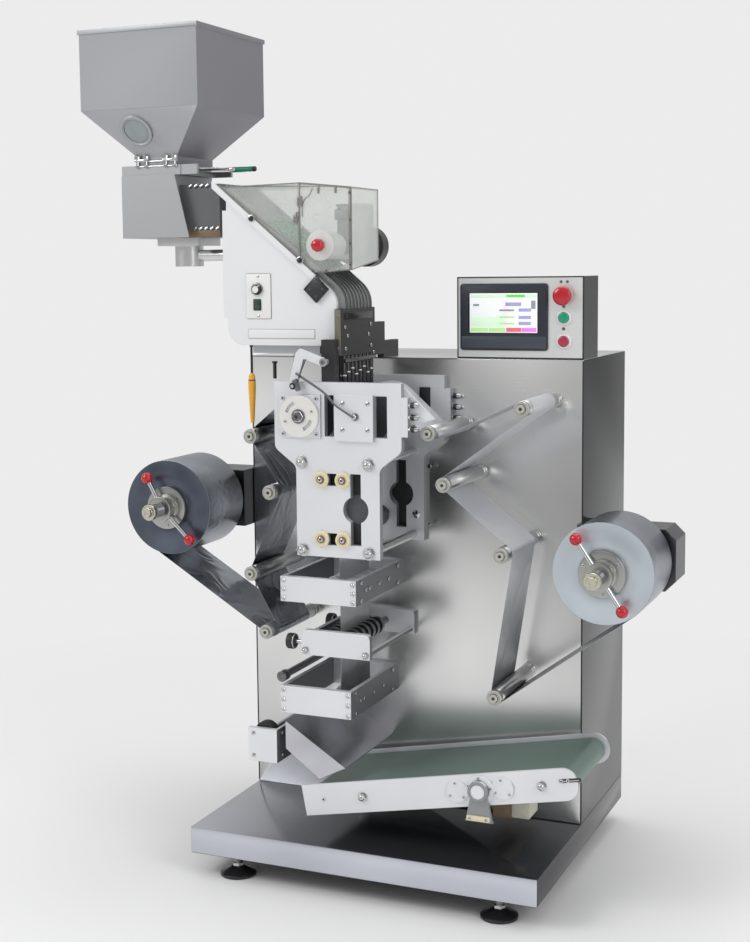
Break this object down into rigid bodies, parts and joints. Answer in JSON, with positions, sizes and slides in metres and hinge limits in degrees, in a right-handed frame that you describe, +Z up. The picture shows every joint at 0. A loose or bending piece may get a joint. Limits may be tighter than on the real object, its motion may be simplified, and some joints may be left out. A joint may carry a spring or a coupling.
{
  "type": "tablet strip packing machine",
  "caption": "Floor-standing machine that seals tablets between two films: hopper, lane feeder, sealing head, reels, stations and conveyor.",
  "frame": {"origin": "on the floor under the middle of the whole machine's box, where the four feet rest", "axes": "+Z up, +X to the right along the front, +Y from the front to the back"},
  "size_m": [1.274, 0.71, 1.867],
  "materials": {
    "brushed_steel": "brushed stainless sheet",
    "hopper_steel": "satin stainless sheet",
    "foot_black": "black moulded foot with a bright rim",
    "screen_black": "black bezel round a colour display",
    "button_plastic": "moulded button caps in bright rings",
    "roller_aluminium": "turned and satin",
    "pin_steel": "ground steel",
    "film": "metallised film",
    "film_roll": "wound metallised film",
    "plate_steel": "bead blasted and anodised plate",
    "nylon": "turned nylon",
    "drum_black": "dark rubber drum",
    "seal_steel": "ground steel",
    "spindle_steel": "turned steel with red grips",
    "arm_steel": "brushed housing",
    "perforator_steel": "ground steel rings",
    "wheel_rubber": "black tyre",
    "belt_green": "green conveyor belt",
    "drum_steel": "turned steel",
    "motor_brown": "dark painted gear motor",
    "gate_steel": "sheet gate with a green grip",
    "vibrator_grey": "dark grey casting",
    "column_aluminium": "turned column and bar",
    "body_white": "white powder coat",
    "track_grey": "machined lanes",
    "clear_acrylic": "clear acrylic sheet",
    "brush_white": "white brush and disc",
    "guide_black": "black anodised block",
    "support_grey": "machined block",
    "grip_yellow": "yellow moulded grip on a black rod"
  },
  "bodies": {
    "root": {"cabinet_housing": "brushed_steel", "cabinet_rear_door": "brushed_steel", "base_plinth": "brushed_steel", "control_box": "brushed_steel", "hopper_bin": "hopper_steel", "hopper_cone": "hopper_steel", "feeder_box": "hopper_steel", "levelling_feet": "foot_black", "touch_screen": "screen_black", "control_buttons": "button_plastic", "guide_roller_pins": "pin_steel", "head_tie_bars": "pin_steel", "waste_puller_frame": "pin_steel", "left_film": "film", "right_film": "film", "head_front_plate": "plate_steel", "head_back_plate": "plate_steel", "head_bars": "plate_steel", "sliding_bearing_block": "plate_steel", "station_frames": "plate_steel", "rocker_lever": "plate_steel", "conveyor_side_plates": "plate_steel", "discharge_chute": "plate_steel", "nylon_rollers": "nylon", "lower_head_roller": "drum_black", "reel_arms": "arm_steel", "conveyor_belt": "belt_green", "conveyor_rollers": "drum_steel", "conveyor_gear_motor": "motor_brown", "vibrator_unit": "vibrator_grey", "hopper_column": "column_aluminium", "feeder_body": "body_white", "feeder_control_plate": "body_white", "lane_track": "track_grey", "clear_dome": "clear_acrylic", "brush_mount": "brush_white", "lane_guide_block": "guide_black", "feeder_support": "support_grey", "hanging_lever": "grip_yellow"},
    "left_lower_roller_body": {"left_lower_roller": "roller_aluminium"},
    "left_deflector_roller_body": {"left_deflector_roller": "roller_aluminium"},
    "left_middle_roller_body": {"left_middle_roller": "roller_aluminium"},
    "left_upper_roller_body": {"left_upper_roller": "roller_aluminium"},
    "right_lower_roller_body": {"right_lower_roller": "roller_aluminium"},
    "right_middle_roller_body": {"right_middle_roller": "roller_aluminium"},
    "right_inner_roller_body": {"right_inner_roller": "roller_aluminium"},
    "right_upper_roller_body": {"right_upper_roller": "roller_aluminium"},
    "right_entry_roller_body": {"right_entry_roller": "roller_aluminium"},
    "left_reel": {"left_reel_spindle": "spindle_steel", "left_film_roll": "film_roll"},
    "right_reel": {"right_reel_spindle": "spindle_steel", "right_film_roll": "film_roll"},
    "left_sealer": {"left_sealing_roller": "seal_steel", "timing_disc": "seal_steel"},
    "right_sealer": {"right_sealing_roller": "seal_steel"},
    "left_perforator": {"left_perforating_shaft": "perforator_steel"},
    "right_perforator": {"right_perforating_shaft": "perforator_steel"},
    "waste_puller": {"waste_wheel": "wheel_rubber"},
    "brush": {"brush_roller": "brush_white"},
    "gate": {"hopper_gate": "gate_steel"}
  },
  "joints": [
    {"name": "left_lower_roller_spin", "type": "hinge", "parent": "root", "child": "left_lower_roller_body", "pos_m": [-0.222, -0.018, 0.546], "axis": [0, 1, 0], "continuous": true},
    {"name": "left_deflector_roller_spin", "type": "hinge", "parent": "root", "child": "left_deflector_roller_body", "pos_m": [-0.257, -0.018, 0.674], "axis": [0, 1, 0], "continuous": true},
    {"name": "left_middle_roller_spin", "type": "hinge", "parent": "root", "child": "left_middle_roller_body", "pos_m": [-0.209, -0.018, 0.857], "axis": [0, 1, 0], "continuous": true},
    {"name": "left_upper_roller_spin", "type": "hinge", "parent": "root", "child": "left_upper_roller_body", "pos_m": [-0.253, -0.018, 0.979], "axis": [0, 1, 0], "continuous": true},
    {"name": "right_lower_roller_spin", "type": "hinge", "parent": "root", "child": "right_lower_roller_body", "pos_m": [0.305, -0.018, 0.451], "axis": [0, 1, 0], "continuous": true},
    {"name": "right_middle_roller_spin", "type": "hinge", "parent": "root", "child": "right_middle_roller_body", "pos_m": [0.319, -0.018, 0.751], "axis": [0, 1, 0], "continuous": true},
    {"name": "right_inner_roller_spin", "type": "hinge", "parent": "root", "child": "right_inner_roller_body", "pos_m": [0.194, -0.018, 0.892], "axis": [0, 1, 0], "continuous": true},
    {"name": "right_upper_roller_spin", "type": "hinge", "parent": "root", "child": "right_upper_roller_body", "pos_m": [0.363, -0.018, 1.055], "axis": [0, 1, 0], "continuous": true},
    {"name": "right_entry_roller_spin", "type": "hinge", "parent": "root", "child": "right_entry_roller_body", "pos_m": [0.161, -0.018, 0.998], "axis": [0, 1, 0], "continuous": true},
    {"name": "left_reel_spin", "type": "hinge", "parent": "root", "child": "left_reel", "pos_m": [-0.475, -0.018, 0.808], "axis": [0, 1, 0], "continuous": true},
    {"name": "right_reel_spin", "type": "hinge", "parent": "root", "child": "right_reel", "pos_m": [0.528, -0.018, 0.725], "axis": [0, 1, 0], "continuous": true},
    {"name": "left_sealer_spin", "type": "hinge", "parent": "root", "child": "left_sealer", "pos_m": [-0.118, -0.018, 1.03], "axis": [0, 1, 0], "continuous": true},
    {"name": "right_sealer_spin", "type": "hinge", "parent": "root", "child": "right_sealer", "pos_m": [0.008, -0.018, 1.03], "axis": [0, 1, 0], "continuous": true},
    {"name": "left_perforator_spin", "type": "hinge", "parent": "root", "child": "left_perforator", "pos_m": [-0.076, -0.018, 0.5385], "axis": [0, 1, 0], "continuous": true},
    {"name": "right_perforator_spin", "type": "hinge", "parent": "root", "child": "right_perforator", "pos_m": [-0.034, -0.018, 0.5385], "axis": [0, 1, 0], "continuous": true},
    {"name": "waste_wheel_spin", "type": "hinge", "parent": "root", "child": "waste_puller", "pos_m": [-0.225, -0.018, 0.318], "axis": [0, 1, 0], "continuous": true},
    {"name": "brush_spin", "type": "hinge", "parent": "root", "child": "brush", "pos_m": [-0.092, -0.018, 1.391], "axis": [0, 1, 0], "continuous": true},
    {"name": "gate_slide", "type": "slide", "parent": "root", "child": "gate", "axis": [1, 0, 0], "range_m": [0, 0.09]}
  ],
  "couplings": [
    {"joint": "right_sealer_spin", "follows": "left_sealer_spin", "ratio": -1},
    {"joint": "right_perforator_spin", "follows": "left_perforator_spin", "ratio": -1}
  ]
}
